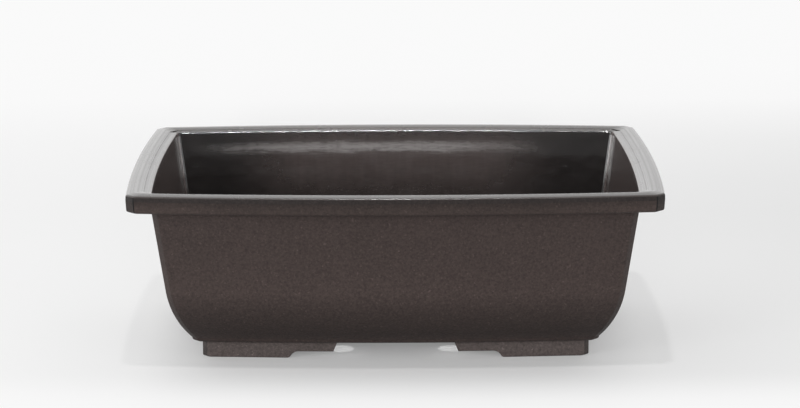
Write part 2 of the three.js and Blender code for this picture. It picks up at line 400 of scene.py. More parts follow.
def wall_section():
    """The wall: curved up from the base, then straight to the flange, grained outside and glossy inside."""
    inner_radius = WALL_CURVE_RADIUS - WALL_THICKNESS
    inner_lean = math.asin(WALL_CURVE_RADIUS * math.sin(WALL_FOOT_LEAN) / inner_radius)
    top = math.pi + WALL_DRAFT
    outer_foot = math.pi + WALL_FOOT_LEAN
    inner_foot = math.pi + inner_lean
    return [
        *section_arc(CURVE_CENTRE, WALL_CURVE_RADIUS, outer_foot, top, CURVE_STEPS, WALL_CORNER, GRAINED),
        (wall_inset(FLANGE_UNDERSIDE), FLANGE_UNDERSIDE, *WALL_CORNER, GRAINED),
        (wall_inner_inset(FLANGE_UNDERSIDE), FLANGE_UNDERSIDE, *INNER_CORNER, GLOSSY),
        *section_arc(CURVE_CENTRE, inner_radius, top, inner_foot, CURVE_STEPS, INNER_CORNER, GLOSSY),
    ]


def base_edge_section():
    """The base's rounded edge, open inwards."""
    centre = (BASE_INSET + BASE_EDGE_SLANT + BASE_EDGE_RADIUS, BASE_UNDERSIDE + BASE_EDGE_RADIUS)
    down = -math.pi / 2
    return [
        *section_arc(centre, BASE_EDGE_RADIUS, down, -math.pi, EDGE_STEPS, WALL_CORNER, GRAINED),
        (BASE_INSET, BASE_TOP, *WALL_CORNER, GRAINED),
    ]


def bowed_sweep_tree():
    """A tree that sweeps a section round the pot's bowed outline, with chamfered and rounded corners."""
    tree = GeometryTree("bowed_sweep")
    section = tree.input("Section", "Geometry")
    half_length = tree.input("Half Length", "Float")
    half_depth = tree.input("Half Depth", "Float")
    bow_radius = tree.input("Bow Radius", "Float")
    bow_steps = tree.input("Bow Steps", "Int")
    round_steps = tree.input("Round Steps", "Int")
    materials = [tree.input(name, "Material") for name in ("Grained", "Satin", "Glossy")]

    # A grid of section points by stations round the pot, with one station more to close the ring
    count = tree.node("GeometryNodeAttributeDomainSize", None, {"Geometry": section}, "Point Count")
    half_stations = bow_steps + round_steps
    side_stations = half_stations * 2 + 1
    vertices = {"Vertices X": side_stations * len(SIDES) + 1, "Vertices Y": count}
    grid = tree.node("GeometryNodeMeshGrid", None, vertices, "Mesh")
    index = tree.node("GeometryNodeInputIndex")
    station = (index / count).math("FLOOR")
    point = index - station * count

    def of_section(name, at):
        field = tree.node("GeometryNodeInputNamedAttribute", {"data_type": "FLOAT"}, {"Name": name})
        sockets = {"Geometry": section, "Value": field, "Index": at}
        return tree.node("GeometryNodeSampleIndex", {"data_type": "FLOAT"}, sockets)

    inset = of_section("inset", point)
    height = of_section("height", point)
    chamfer = of_section("chamfer", point)
    roundness = of_section("roundness", point)

    # The station's side of the pot, and its place along that side
    turns = (station / side_stations).math("FLOOR")
    place = station - turns * side_stations - half_stations
    steps_out = place.math("ABSOLUTE")
    is_short_side = turns.math("FLOORED_MODULO", 2.0)
    along_corner = half_length + (half_depth - half_length) * is_short_side - inset
    across_corner = half_depth + (half_length - half_depth) * is_short_side - inset

    # The bow, as far as the bend at the corner
    reach = along_corner - chamfer
    bend = chamfer * roundness * math.sqrt(0.5)
    bow_along = (reach - bend) * (steps_out / bow_steps).math("MINIMUM", 1.0)
    bow_out = across_corner + (reach * reach - bow_along * bow_along) / (bow_radius * 2)

    # The bend: a parabola from the bow's end to the chamfer's middle part
    turn = (steps_out - bow_steps).math("MAXIMUM", 0.0) / round_steps
    stay = 1 - turn
    step_in = bend * math.sqrt(0.5)
    along = stay * stay * bow_along + 2 * turn * stay * reach + turn * turn * (reach + step_in)
    out = stay * stay * bow_out + 2 * turn * stay * across_corner + turn * turn * (across_corner - step_in)

    on_front = {"X": along * place.math("SIGN"), "Y": -out, "Z": height}
    position = tree.node("ShaderNodeCombineXYZ", None, on_front)
    to_side = {"Vector": position, "Angle": turns * (math.pi / 2)}
    position = tree.node("ShaderNodeVectorRotate", {"rotation_type": "Z_AXIS"}, to_side)
    moved = tree.node("GeometryNodeSetPosition", None, {"Geometry": grid, "Position": position})

    # What the materials read: the inset, how far into a corner's bend, and whether the side is a short one
    place_on_side = tree.node("ShaderNodeCombineXYZ", None, {"X": inset, "Y": turn, "Z": is_short_side})
    stored = tree.node(
        "GeometryNodeStoreNamedAttribute",
        {"data_type": "FLOAT_VECTOR", "domain": "POINT"},
        {"Geometry": moved, "Name": "moulding", "Value": place_on_side},
    )
    spans = count - 1
    face_point = index - (index / spans).math("FLOOR") * spans
    stored = tree.node(
        "GeometryNodeStoreNamedAttribute",
        {"data_type": "INT", "domain": "FACE"},
        {"Geometry": stored, "Name": "finish", "Value": of_section("finish", face_point)},
    )
    sockets = {"Geometry": stored, "Distance": MERGE_DISTANCE}
    merged = tree.node("GeometryNodeMergeByDistance", None, sockets)
    result = tree.node("GeometryNodeRealizeInstances", None, {"Geometry": tree.smooth(merged)})
    finish = tree.node("GeometryNodeInputNamedAttribute", {"data_type": "INT"}, {"Name": "finish"})
    for number, material in enumerate(materials):
        settings = {"data_type": "INT", "operation": "EQUAL"}
        is_this = tree.node("FunctionNodeCompare", settings, {"A_INT": finish, "B_INT": number})
        result = tree.set_material(result, material, is_this)
    tree.finish(result)
    return tree


def swept_piece(name, section, tree, materials, closed=True):
    """A piece of the pot that follows its outline all the way round."""
    points = section + section[:1] if closed else section
    chain = [(index, index + 1) for index in range(len(points) - 1)]
    piece = new_piece(name, [(inset, 0, height) for inset, height, *_ in points], chain)
    for column, attribute in enumerate(("inset", "height", "chamfer", "roundness", "finish")):
        values = [float(point[column]) for point in points]
        piece.data.attributes.new(attribute, "FLOAT", "POINT").data.foreach_set("value", values)
    tree.apply(
        piece,
        {
            "Half Length": HALF_LENGTH,
            "Half Depth": HALF_DEPTH,
            "Bow Radius": BOW_RADIUS,
            "Bow Steps": BOW_STEPS,
            "Round Steps": ROUND_STEPS,
            "Grained": materials[GRAINED],
            "Satin": materials[SATIN],
            "Glossy": materials[GLOSSY],
        },
    )
    return piece


def drain_tree():
    """A tree that pierces a plate with four drain holes, whose edges are rounded."""
    tree = GeometryTree("drain_holes")
    plate = tree.input("Plate", "Geometry")
    radius = tree.input("Radius", "Float")
    edge_radius = tree.input("Edge Radius", "Float")
    spacing = tree.input("Spacing", "Float")
    row = tree.input("Row", "Float")
    top = tree.input("Top", "Float")
    underside = tree.input("Underside", "Float")
    material = tree.input("Grained", "Material")

    # A cutter that widens where it leaves the plate
    depth = (top - underside) * 2
    sockets = {"Vertices": DRAIN_SIDES, "Side Segments": DRAIN_CUTTER_RINGS, "Radius": 1.0, "Depth": depth}
    cutter = tree.node("GeometryNodeMeshCylinder", None, sockets, "Mesh")
    position = tree.node("GeometryNodeInputPosition")
    x, y, z = (tree.axis(position, axis) for axis in "XYZ")
    below_face = ((top - underside) / 2 - z.math("ABSOLUTE")).math("MAXIMUM", 0.0)
    below_face = below_face.math("MINIMUM", edge_radius)
    rise = edge_radius - below_face
    flare = edge_radius - (edge_radius * edge_radius - rise * rise).math("SQRT")
    width = radius + flare
    middle = (top + underside) / 2
    place = tree.node("ShaderNodeCombineXYZ", None, {"X": x * width, "Y": y * width, "Z": z + middle})
    cutter = tree.node("GeometryNodeSetPosition", None, {"Geometry": cutter, "Position": place})

    # One point for each hole
    index = tree.node("GeometryNodeInputIndex")
    sign_x = index.math("FLOORED_MODULO", 2.0) * 2 - 1
    sign_y = (index / 2).math("FLOOR") * 2 - 1
    middles = tree.node("ShaderNodeCombineXYZ", None, {"X": sign_x * spacing / 2, "Y": sign_y * row})
    points = tree.node("GeometryNodePoints", None, {"Count": DRAIN_HOLES, "Position": middles})
    cutters = tree.node("GeometryNodeInstanceOnPoints", None, {"Points": points, "Instance": cutter})
    cutters = tree.node("GeometryNodeRealizeInstances", None, {"Geometry": cutters})
    settings = {"operation": "DIFFERENCE", "solver": "EXACT"}
    pierced = tree.node("GeometryNodeMeshBoolean", settings, {"Mesh 1": plate, "Mesh 2": cutters})
    result = tree.node("GeometryNodeRealizeInstances", None, {"Geometry": tree.smooth(pierced)})
    tree.finish(tree.set_material(result, material))
    return tree


def floor_plate(sweep, materials):
    """The pot's floor: a plate with a rounded edge and four drain holes."""
    piece = swept_piece("floor_plate", base_edge_section(), sweep, materials, closed=False)
    plate = bmesh.new()
    plate.from_mesh(piece.data)
    bmesh.ops.holes_fill(plate, edges=[edge for edge in plate.edges if edge.is_boundary], sides=0)
    bmesh.ops.recalc_face_normals(plate, faces=plate.faces)
    plate.to_mesh(piece.data)
    plate.free()
    drain_tree().apply(
        piece,
        {
            "Radius": DRAIN_DIAMETER / 2,
            "Edge Radius": DRAIN_EDGE_RADIUS,
            "Spacing": DRAIN_SPACING,
            "Row": DRAIN_ROW,
            "Top": BASE_TOP,
            "Underside": BASE_UNDERSIDE,
            "Grained": materials[GRAINED],
        },
    )
    return piece


# The feet. A foot has a leg along the front or back of the pot, and one along its side.
def toe_stations(gap, toe_length):
    """Pairs of a distance along a leg and its underside there: the toe, a cove, a round, then the flat."""
    toe_end = gap / 2 + TOE_SLANT
    cove_start = toe_end + toe_length
    both_radii = TOE_COVE_RADIUS + TOE_ROUND_RADIUS
    steepest = math.acos(1 - TOE_LIFT / both_radii)
    round_end = cove_start + both_radii * math.sin(steepest)
    stations = [(toe_end + toe_length * step / TOE_STEPS, TOE_LIFT) for step in range(TOE_STEPS)]
    for step in range(TOE_CURVE_STEPS + 1):
        angle = steepest * step / TOE_CURVE_STEPS
        drop = TOE_COVE_RADIUS * (1 - math.cos(angle))
        stations.append((cove_start + TOE_COVE_RADIUS * math.sin(angle), TOE_LIFT - drop))
    for step in range(1, TOE_CURVE_STEPS + 1):
        angle = steepest * (1 - step / TOE_CURVE_STEPS)
        rise = TOE_ROUND_RADIUS * (1 - math.cos(angle))
        stations.append((round_end - TOE_ROUND_RADIUS * math.sin(angle), rise))
    return stations


def foot_section(underside, edge_radius=FOOT_EDGE_RADIUS):
    """The foot's cross-section at a station, as (inset, height) clockwise from its outer lower edge."""
    down = -math.pi / 2
    outer = (FOOT_INSET + edge_radius, underside + edge_radius)
    inner = (FOOT_INNER_INSET - FOOT_INNER_EDGE_RADIUS, underside + FOOT_INNER_EDGE_RADIUS)
    plain = (0, 0)
    points = [
        *section_arc(outer, edge_radius, down, -math.pi, EDGE_STEPS, plain, GRAINED),
        (FOOT_INSET, BASE_UNDERSIDE),
        (FOOT_INNER_INSET, BASE_UNDERSIDE),
        *section_arc(inner, FOOT_INNER_EDGE_RADIUS, 0, down, EDGE_STEPS, plain, GRAINED),
    ]
    return [point[:2] for point in points]


def leg_corner(side):
    """How far the rim's corner lies from the pot's middle, along a leg and across it."""
    return (HALF_LENGTH, HALF_DEPTH) if side == "front" else (HALF_DEPTH, HALF_LENGTH)


def leg_reach(side, inset):
    """How far along a leg its face would reach if the corner's chamfer had no bend."""
    return leg_corner(side)[0] - inset - FOOT_CHAMFER


def foot_point(side, along, inset):
    """Where a foot's point lies, seen from above, on the corner at +X -Y."""
    across_corner = leg_corner(side)[1]
    reach = leg_reach(side, inset)
    out = across_corner - inset + (reach * reach - along * along) / (2 * BOW_RADIUS)
    return (along, -out) if side == "front" else (out, -along)


def foot_edge_radius(rise):
    """The radius of a foot's outer lower edge, which grows as the underside rises to the corner."""
    return FOOT_EDGE_RADIUS + (FOOT_CORNER_RADIUS - FOOT_EDGE_RADIUS) * rise


def foot_corner(side, turn, inset):
    """A point of the bend at the corner, with a turn of 0 at the leg's face and of 1 at the chamfer."""
    across_corner = leg_corner(side)[1]
    reach = leg_reach(side, inset)
    step_in = FOOT_BEND * math.sqrt(0.5)
    start = Vector(foot_point(side, reach - FOOT_BEND, inset))
    if side == "front":
        knee = Vector((reach, inset - across_corner))
        chamfer = knee + Vector((step_in, step_in))
    else:
        knee = Vector((across_corner - inset, -reach))
        chamfer = knee - Vector((step_in, step_in))
    return (1 - turn) ** 2 * start + 2 * turn * (1 - turn) * knee + turn**2 * chamfer


def leg_rings(side, gap, toe_length):
    """A leg's rings of points from its toe to the chamfer, each with how far into the bend it lies."""
    rings = []
    for number, (along, underside) in enumerate(toe_stations(gap, toe_length)):
        ring = []
        for inset, height in foot_section(underside):
            above_toe = (height - TOE_LIFT) / (BASE_UNDERSIDE - TOE_LIFT)
            lean = TOE_SLANT * above_toe if number == 0 else 0
            ring.append((*foot_point(side, along - lean, inset), height))
        rings.append((ring, 0.0))
    for step in range(EDGE_STEPS):
        rise = 1 - math.sqrt(1 - (step / EDGE_STEPS) ** 2)
        from_bend = FOOT_BEND + FOOT_CORNER_LENGTH * (1 - step / EDGE_STEPS)
        ring = []
        for inset, height in foot_section(FOOT_CORNER_LIFT * rise, foot_edge_radius(rise)):
            ring.append((*foot_point(side, leg_reach(side, inset) - from_bend, inset), height))
        rings.append((ring, 0.0))
    section = foot_section(FOOT_CORNER_LIFT, foot_edge_radius(1.0))
    for step in range(ROUND_STEPS + 1):
        turn = step / ROUND_STEPS
        ring = [(*foot_corner(side, turn, inset), height) for inset, height in section]
        rings.append((ring, turn))
    return rings


def bracket_foot(name, sign_x, sign_y, material):
    """An L-shaped foot with a raised, slanted toe on each leg."""
    rings = leg_rings("front", FRONT_FEET_GAP, FRONT_TOE_LENGTH)
    rings.extend(reversed(leg_rings("side", SIDE_FEET_GAP, SIDE_TOE_LENGTH)))
    count = len(rings[0][0])
    points = [(sign_x * x, sign_y * y, z) for ring, turn in rings for x, y, z in ring]
    faces = [list(range(count))[::-1], list(range(len(points) - count, len(points)))]
    for ring in range(len(rings) - 1):
        for index in range(count):
            here = ring * count + index
            painted_light_beside = ring * count + (index + 1) % count
            faces.append([here, here + count, painted_light_beside + count, painted_light_beside])
    if sign_x * sign_y < 0:
        faces = [face[::-1] for face in faces]
    foot = new_piece(name, points, faces=faces)
    moulding = [value for ring, turn in rings for point in ring for value in (FOOT_INSET, turn, 0.0)]
    foot.data.attributes.new("moulding", "FLOAT_VECTOR", "POINT").data.foreach_set("vector", moulding)
    foot.data.materials.append(material)
    foot.data.shade_smooth()
    bevel = foot.modifiers.new("softened_edges", "BEVEL")
    bevel.width = FOOT_BEVEL
    bevel.segments = BEVEL_SEGMENTS
    bevel.angle_limit = SHARP_ANGLE
    keep_evaluated_mesh(foot)
    foot.data.set_sharp_from_angle(angle=SHARP_ANGLE)
    return foot


# Materials
class Finish(Tree):
    """A material's shader tree, with one Principled shader and the coordinates of the piece."""

    def __init__(self, name):
        self.material = bpy.data.materials.new(name)
        self.material.use_nodes = True
        super().__init__(self.material.node_tree)
        self.coordinates = self.node("ShaderNodeTexCoord", output="Object")

    def noise(self, size, detail, vector=None, distortion=0.0):
        """Noise from 0 to 1 with features of about the given size in metres."""
        sockets = {"Vector": vector or self.coordinates, "Scale": 1 / size, "Detail": detail}
        sockets["Distortion"] = distortion
        return self.node("ShaderNodeTexNoise", None, sockets, "Fac")

    def squashed(self, amount):
        """The piece's coordinates, with its heights scaled by an amount."""
        sockets = {0: self.coordinates, 1: (1.0, 1.0, amount)}
        return self.node("ShaderNodeVectorMath", {"operation": "MULTIPLY"}, sockets, "Vector")

    def moulding(self, axis):
        """What every piece stores: the inset in X, the corner's bend in Y and the short sides in Z."""
        stored = self.node("ShaderNodeAttribute", {"attribute_name": "moulding"}, None, "Vector")
        return self.axis(stored, axis)

    def mix(self, factor, colour, other):
        sockets = {"Factor_Float": factor, "A_Color": colour, "B_Color": other}
        return self.node("ShaderNodeMix", {"data_type": "RGBA"}, sockets, "Result_Color")

    def smooth_step(self, value, start, end):
        """0 before the start, 1 past the end, and a soft rise between them."""
        sockets = {"Value": value, "From Min": start, "From Max": end}
        return self.node("ShaderNodeMapRange", {"interpolation_type": "SMOOTHSTEP"}, sockets, "Result")

    def bump(self, height, distance):
        return self.node("ShaderNodeBump", None, {"Height": height, "Distance": distance})

    def finish(self, **sockets):
        named = {name.replace("_", " "): value for name, value in sockets.items()}
        shader = self.node("ShaderNodeBsdfPrincipled", None, named)
        self.node("ShaderNodeOutputMaterial", None, {"Surface": shader})
        return self.material


def blend(ends, mask):
    """From the first of two numbers, where the mask is 0, to the second, where it is 1."""
    return ends[0] + mask * (ends[1] - ends[0])


# The grained outside. Weights say how much each pattern adds to the brown.
# One plastic in four browns: the lip and the rim's outer edge are darker and the feet paler, partly as
# painted shade and light and partly as a different finish
WALL_BROWN = (0.0584, 0.0428, 0.0392)
LIP_BROWN = (0.0415, 0.0305, 0.0275)
RIM_EDGE_BROWN = (0.0230, 0.0180, 0.0170)
FOOT_BROWN = (0.0920, 0.0750, 0.0708)
GRAIN_SIZE, GRAIN_WEIGHT = 0.0009, 0.95
SPECKLE_SIZE, SPECKLE_WEIGHT = 0.0016, 0.9
MOTTLE_SIZE, MOTTLE_WEIGHT = 0.03, 0.16
SPECK_SIZE, SPECK_WEIGHT = 0.0012, 4.5
SPECK_LEVEL = 0.7  # noise above this makes a light speck
GRAIN_DEPTH = 0.0003
GRAIN_ROUGHNESS = (0.42, 0.66)
GRAIN_SHEEN = 0.25
PAINTED_END_LIGHT_FROM, PAINTED_END_LIGHT_TO = 0.07, 0.16  # painted light: the lip's long sides are painted paler between these, from the middle out, as the side lamps' sheen
# Painted shade by height, as pairs of a height and how pale the plastic is painted there: the lip darkens
# towards the flange, and the wall darkens down its lower curve
NO_PAINTED_SHADE = ((0.0, 1.0), (POT_HEIGHT, 1.0))
LIP_PAINTED_SHADE = ((LIP_BOTTOM + 0.003, 1.0), (POT_HEIGHT, 0.3))
WALL_PAINTED_SHADE = (
    (BASE_TOP, 0.71),
    (BASE_TOP + 0.0035, 0.5),
    (CURVE_TOP - 0.0116, 0.7),
    (CURVE_TOP, 1.0),
    (CURVE_TOP + 0.0114, 0.922),
    (CURVE_TOP + 0.0294, 0.87),
)


def grained_plastic(name, brown, painted_shade=NO_PAINTED_SHADE, corner_line=0.0, corner_painted_shade=0.0, painted_light_at_ends=0.0):
    """The outside: a fine sand grain from the mould, with light specks and a low sheen.

    The painted shade is pairs of a height and how pale the plastic is painted there, for light and shade
    that change with height. The corner line is how dark the bends on either side of a corner's chamfer are,
    and the corner's painted shade is how dark the chamfer is painted. The painted light at the ends is how
    much paler the long sides are painted towards their ends.
    """
    finish = Finish(name)
    grain = finish.noise(GRAIN_SIZE, detail=2.0)
    speckle = finish.noise(SPECKLE_SIZE, detail=1.0)
    mottle = finish.noise(MOTTLE_SIZE, detail=3.0)
    specks = (finish.noise(SPECK_SIZE, detail=0.0) - SPECK_LEVEL).math("MAXIMUM", 0.0)
    fine = grain * GRAIN_WEIGHT + speckle * SPECKLE_WEIGHT
    pattern = fine + mottle * MOTTLE_WEIGHT + specks * SPECK_WEIGHT
    x, height = (finish.axis(finish.coordinates, axis) for axis in "XZ")
    # painted shade that changes with height
    painted_shade_here = finish.grey_ramp([(level / POT_HEIGHT, pale) for level, pale in painted_shade], height / POT_HEIGHT)
    bend = finish.moulding("Y")
    mid_bend = bend * (1 - bend) * 4
    # dark lines along the bends, and painted shade on the corner's chamfer
    corner = 1 - mid_bend * corner_line - bend * corner_painted_shade
    is_long_side = 1 - finish.moulding("Z")
    # painted light: the long sides painted paler towards their ends
    ends = finish.smooth_step(x.math("ABSOLUTE"), PAINTED_END_LIGHT_FROM, PAINTED_END_LIGHT_TO) * is_long_side * painted_light_at_ends
    return finish.finish(
        Base_Color=finish.shade(brown, pattern * painted_shade_here * corner * (1 + ends)),
        Roughness=blend(GRAIN_ROUGHNESS, grain),
        Specular_IOR_Level=GRAIN_SHEEN,
        Normal=finish.bump(grain, GRAIN_DEPTH),
    )


# The rim's satin top. Pairs run from where a pattern is weakest to where it is strongest.
SATIN_BROWN = (0.0500, 0.0410, 0.0380)
SMEAR_SIZE = 0.02
SMEAR_TONES = (0.9, 1.1)
SMEAR_ROUGHNESS = (0.2, 0.32)
LINE_WIDTH = 0.0012
LINE_WANDER = 0.0004
LINE_DEPTH = 0.00005
STEP_SHADE = 0.7  # how dark the line at the core's step is
STEP_ROUGHNESS = 0.4
LONG_RIM_COAT = (0.15, 0.25)
SHORT_RIM_COAT = (0.2, 1.3)  # on top of that, on the short sides
SATIN_COAT_ROUGHNESS = 0.12
SATIN_IOR = 1.55


def satin_plastic():
    """The rim's top: smooth, with faint lines that run along it and a dark line at the core's step."""
    finish = Finish("satin_plastic")
    inset = finish.moulding("X")
    is_short_side = finish.moulding("Z")
    smear = finish.noise(SMEAR_SIZE, detail=3.0)
    sockets = {"W": inset + smear * LINE_WANDER, "Scale": 1 / LINE_WIDTH, "Detail": 3.0}
    lines = finish.node("ShaderNodeTexNoise", {"noise_dimensions": "1D"}, sockets, "Fac")
    off_step = (inset - WITNESS_INSET - WITNESS_WIDTH / 2).math("ABSOLUTE") / WITNESS_WIDTH
    step_line = (1 - off_step).math("MAXIMUM", 0.0) * smear
    coat = blend(LONG_RIM_COAT, lines) + is_short_side * blend(SHORT_RIM_COAT, lines)
    return finish.finish(
        Base_Color=finish.shade(SATIN_BROWN, blend(SMEAR_TONES, smear) * (1 - step_line * STEP_SHADE)),
        Roughness=blend(SMEAR_ROUGHNESS, smear) + step_line * STEP_ROUGHNESS,
        IOR=SATIN_IOR,
        Coat_Weight=coat * (1 - step_line),
        Coat_Roughness=SATIN_COAT_ROUGHNESS,
        Normal=finish.bump(lines, LINE_DEPTH),
    )


# The glossy inside. Pairs run from where a pattern is weakest to where it is strongest.
GLOSS_BROWN = (0.0290, 0.0222, 0.0208)
GLOSS_ROUGHNESS = (0.12, 0.32)
GLOSS_COAT = (0.4, 1.2)
GLOSS_COAT_ROUGHNESS = 0.03
GLOSS_IOR = 1.5
SMUDGE_SIZE, SMUDGE_DISTORTION = 0.018, 0.6
WAVE_SIZE, WAVE_DEPTH = 0.03, 0.0006
RIPPLE_SIZE, RIPPLE_SHARE = 0.009, 0.6
STREAK_SIZE, STREAK_SQUASH = 0.022, 10.0  # a squash over 1 lays marks flat, and one under 1 stands them up
SCRATCH_SIZE, SCRATCH_SQUASH = 0.005, 6.0
RUN_SIZE, RUN_SQUASH = 0.0035, 0.08
RAGGED = 0.03  # how far the edges of the painted pool of light and of the painted reflection band wander
PAINTED_POOL_FROM, PAINTED_POOL_TO = 0.05, 0.108  # painted light: the pool of light painted on the inside fades out between these distances from the pot's middle
PAINTED_POOL_START = 0.03  # and grows from this far above the floor up to the soil's level
# The painted pool of light is weaker towards the floor and just below the rim, as painted shade: from its
# start up to the soil's level, then from the rim down to the soil's level
PAINTED_POOL_BY_HEIGHT = (0.2, 1.35)
PAINTED_POOL_BELOW_RIM = (0.35, 1.0)
SMUDGE_WEAR = (0.2, 0.5)
# the short inside walls are painted paler, partly as wear and partly as painted reflection
SHORT_WALL_WEAR_AND_PAINTED_LIGHT = 3.1
PLAIN_WEAR, MARK_WEAR = 0.55, 0.45
# Painted reflection: a broken grey band at the soil's level stands for the front rim's inner edge mirrored
# in the glossy back wall
PAINTED_REFLECTION_GREY = (0.180, 0.168, 0.164)
SOIL_LEVEL = 0.0908
PAINTED_REFLECTION_WIDTH = 0.0046  # from the middle of the painted reflection band to where it ends
PAINTED_REFLECTION_MIDDLE = -0.015  # along the pot
PAINTED_REFLECTION_FROM, PAINTED_REFLECTION_TO = 0.03, 0.12  # the band fades out between these distances from its middle
PAINTED_REFLECTION_STREAKS, PAINTED_REFLECTION_SCRATCHES, PAINTED_REFLECTION_RUNS = 2.0, 1.6, 0.6
PAINTED_REFLECTION_LIMIT = 1.2  # the painted reflection shows where those three add up to more than this
PAINTED_REFLECTION_ROUGHNESS = 0.2


def glossy_plastic():
    """The inside: glossy and a little wavy, with smudges, marks, painted light and a painted reflection."""
    finish = Finish("glossy_plastic")
    x, height = (finish.axis(finish.coordinates, axis) for axis in "XZ")
    is_short_side = finish.moulding("Z")
    smudge = finish.noise(SMUDGE_SIZE, detail=4.0, distortion=SMUDGE_DISTORTION)
    waves = finish.noise(WAVE_SIZE, detail=2.0) + finish.noise(RIPPLE_SIZE, detail=1.0) * RIPPLE_SHARE
    streaks = finish.noise(STREAK_SIZE, detail=5.0, vector=finish.squashed(STREAK_SQUASH))
    scratches = finish.noise(SCRATCH_SIZE, detail=4.0, vector=finish.squashed(SCRATCH_SQUASH))
    runs = finish.noise(RUN_SIZE, detail=3.0, vector=finish.squashed(RUN_SQUASH))
    ragged = (smudge - 0.5) * RAGGED

    # Painted light: the middle of the inside is painted paler as a pool of light, fading towards the ends,
    # the floor and the rim
    painted_pool = finish.smooth_step(x.math("ABSOLUTE") + ragged, PAINTED_POOL_TO, PAINTED_POOL_FROM)
    above_floor = finish.smooth_step(height, BASE_TOP + PAINTED_POOL_START, SOIL_LEVEL)
    below_rim = finish.smooth_step(height, POT_HEIGHT, SOIL_LEVEL)
    painted_pool_light = painted_pool * blend(PAINTED_POOL_BY_HEIGHT, above_floor) * blend(PAINTED_POOL_BELOW_RIM, below_rim)
    # Smudged wear, with painted light: the paler short walls and the painted pool of light in the middle
    wear_and_painted_light = blend(SMUDGE_WEAR, smudge) + is_short_side * SHORT_WALL_WEAR_AND_PAINTED_LIGHT + painted_pool_light
    brown = finish.shade(GLOSS_BROWN, wear_and_painted_light * (PLAIN_WEAR + runs * MARK_WEAR + scratches * MARK_WEAR))

    # Painted reflection: a broken grey band at the soil's level, where the back wall mirrors the front
    # rim's inner edge
    off_band = (height - SOIL_LEVEL + (streaks - 0.5) * PAINTED_REFLECTION_WIDTH).math("ABSOLUTE")
    band = finish.smooth_step(off_band, PAINTED_REFLECTION_WIDTH, 0.0)
    along_band = (x - PAINTED_REFLECTION_MIDDLE).math("ABSOLUTE") + ragged
    reflection_along = finish.smooth_step(along_band, PAINTED_REFLECTION_TO, PAINTED_REFLECTION_FROM)
    marks = streaks * PAINTED_REFLECTION_STREAKS + scratches * PAINTED_REFLECTION_SCRATCHES + runs * PAINTED_REFLECTION_RUNS - PAINTED_REFLECTION_LIMIT
    painted_reflection = (band * reflection_along * marks).math("MINIMUM", 1.0).math("MAXIMUM", 0.0)
    return finish.finish(
        Base_Color=finish.mix(painted_reflection, brown, PAINTED_REFLECTION_GREY),
        Roughness=blend(GLOSS_ROUGHNESS, smudge) + painted_reflection * PAINTED_REFLECTION_ROUGHNESS,
        IOR=GLOSS_IOR,
        Coat_Weight=blend(GLOSS_COAT, smudge),
        Coat_Roughness=GLOSS_COAT_ROUGHNESS,
        Normal=finish.bump(waves, WAVE_DEPTH),
    )


# Stage
CAMERA_FOCAL_PIXELS = 2518.75
IMAGE_WIDTH_PIXELS = 800
CAMERA_PLACE = (-0.00033, -1.433346, 0.402925)
CAMERA_PITCH = 0.225023
CAMERA_YAW = 0.002137
CAMERA_ROLL = 0.002828
SENSOR_WIDTH_MM = 36.0


def make_camera():
    data = bpy.data.cameras.new("photo_view")
    data.sensor_width = SENSOR_WIDTH_MM
    data.lens = CAMERA_FOCAL_PIXELS / IMAGE_WIDTH_PIXELS * SENSOR_WIDTH_MM
    camera = bpy.data.objects.new("photo_view", data)
    level = math.cos(CAMERA_PITCH)
    forward = Vector((math.sin(CAMERA_YAW) * level, math.cos(CAMERA_YAW) * level, -math.sin(CAMERA_PITCH)))
    right = Vector((math.cos(CAMERA_YAW), -math.sin(CAMERA_YAW), 0))
    turn = Matrix.Rotation(CAMERA_ROLL, 3, forward)
    right = turn @ right
    up = right.cross(forward)
    axes = Matrix((right, up, -forward)).transposed()
    camera.matrix_world = Matrix.Translation(CAMERA_PLACE) @ axes.to_4x4()
    bpy.context.scene.collection.objects.link(camera)
    bpy.context.scene.camera = camera


def softbox(name, size, power):
    """A round lamp that gives soft light."""
    data = bpy.data.lights.new(name, "AREA")
    data.shape = "DISK"
    data.size = size
    data.energy = power
    return data


def spotlight(name, radius, cone, softness, power):
    """A lamp that lights a round patch, whose edge is more or less soft."""
    data = bpy.data.lights.new(name, "SPOT")
    data.shadow_soft_size = radius
    data.spot_size = cone
    data.spot_blend = softness
    data.energy = power
    return data


def hang_lamp(data, place, aim, lights="all"):
    """Hangs a lamp that points at its aim, and lights all, only what is matt or only what is gloss."""
    lamp = bpy.data.objects.new(data.name, data)
    direction = Vector(aim) - Vector(place)
    turn = direction.to_track_quat("-Z", "Y").to_matrix().to_4x4()
    lamp.matrix_world = Matrix.Translation(place) @ turn
    lamp.visible_diffuse = lights != "gloss"
    lamp.visible_glossy = lights != "matt"
    bpy.context.scene.collection.objects.link(lamp)


POT_MIDDLE = (0, 0, 0.05)
MOUTH = (0, 0.045, 0.05)  # the spot points in through the pot's mouth
OVERHEAD = (-0.018, -0.511, 1.94)
OVERHEAD_GLEAM = (-0.008, -0.511, 1.94)


